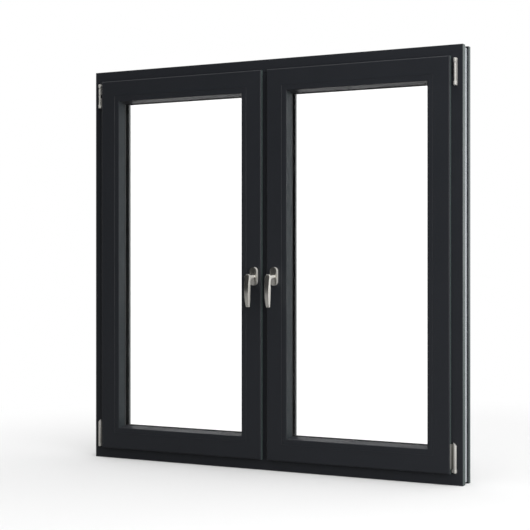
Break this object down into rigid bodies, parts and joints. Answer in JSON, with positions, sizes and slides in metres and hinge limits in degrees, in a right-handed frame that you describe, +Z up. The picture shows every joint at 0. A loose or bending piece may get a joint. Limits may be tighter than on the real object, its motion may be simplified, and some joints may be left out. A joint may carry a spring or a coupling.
{
  "type": "two-sash pvc window",
  "caption": "Inward-opening pvc window with a fixed frame, a central mullion and glazed sashes, each with a turning lever handle.",
  "frame": {"origin": "middle of the sill's underside, on the rib at its room side", "axes": "+X to the right seen from the room, +Y from the room to the outside, +Z up"},
  "size_m": [1.4, 0.158, 1.4],
  "materials": {
    "profile_pvc": "smooth anthracite, slightly satin",
    "satin_hardware": "satin nickel",
    "glazing": "clear",
    "seal_rubber": "matt black",
    "spacer_bar": "dull grey"
  },
  "bodies": {
    "root": {"drain_covers": "profile_pvc", "frame_head": "profile_pvc", "frame_jamb_left": "profile_pvc", "frame_jamb_right": "profile_pvc", "frame_sill": "profile_pvc", "left_bead_bottom": "profile_pvc", "left_bead_hinge": "profile_pvc", "left_bead_lock": "profile_pvc", "left_bead_top": "profile_pvc", "left_bottom_hinge_bearing": "satin_hardware", "left_bottom_hinge_leaf": "satin_hardware", "left_glass_inner": "glazing", "left_glass_outer": "glazing", "left_glass_spacer": "spacer_bar", "left_glazing_gaskets": "seal_rubber", "left_handle_rosette": "satin_hardware", "left_sash_bottom_rail": "profile_pvc", "left_sash_hinge_stile": "profile_pvc", "left_sash_lock_stile": "profile_pvc", "left_sash_seals": "seal_rubber", "left_sash_top_rail": "profile_pvc", "left_top_hinge_bracket": "satin_hardware", "left_top_hinge_sleeve": "satin_hardware", "mullion": "profile_pvc", "right_bead_bottom": "profile_pvc", "right_bead_hinge": "profile_pvc", "right_bead_lock": "profile_pvc", "right_bead_top": "profile_pvc", "right_bottom_hinge_bearing": "satin_hardware", "right_bottom_hinge_leaf": "satin_hardware", "right_glass_inner": "glazing", "right_glass_outer": "glazing", "right_glass_spacer": "spacer_bar", "right_glazing_gaskets": "seal_rubber", "right_handle_rosette": "satin_hardware", "right_sash_bottom_rail": "profile_pvc", "right_sash_hinge_stile": "profile_pvc", "right_sash_lock_stile": "profile_pvc", "right_sash_seals": "seal_rubber", "right_sash_top_rail": "profile_pvc", "right_top_hinge_bracket": "satin_hardware", "right_top_hinge_sleeve": "satin_hardware"},
    "left_handle": {"left_handle_lever": "satin_hardware"},
    "right_handle": {"right_handle_lever": "satin_hardware"}
  },
  "joints": [
    {"name": "left_handle_turn", "type": "hinge", "parent": "root", "child": "left_handle", "pos_m": [-0.0347, -0.0295, 0.661], "axis": [0, 1, 0], "range_deg": [0, 180]},
    {"name": "right_handle_turn", "type": "hinge", "parent": "root", "child": "right_handle", "pos_m": [0.0421, -0.0295, 0.661], "axis": [0, -1, 0], "range_deg": [0, 180]}
  ]
}
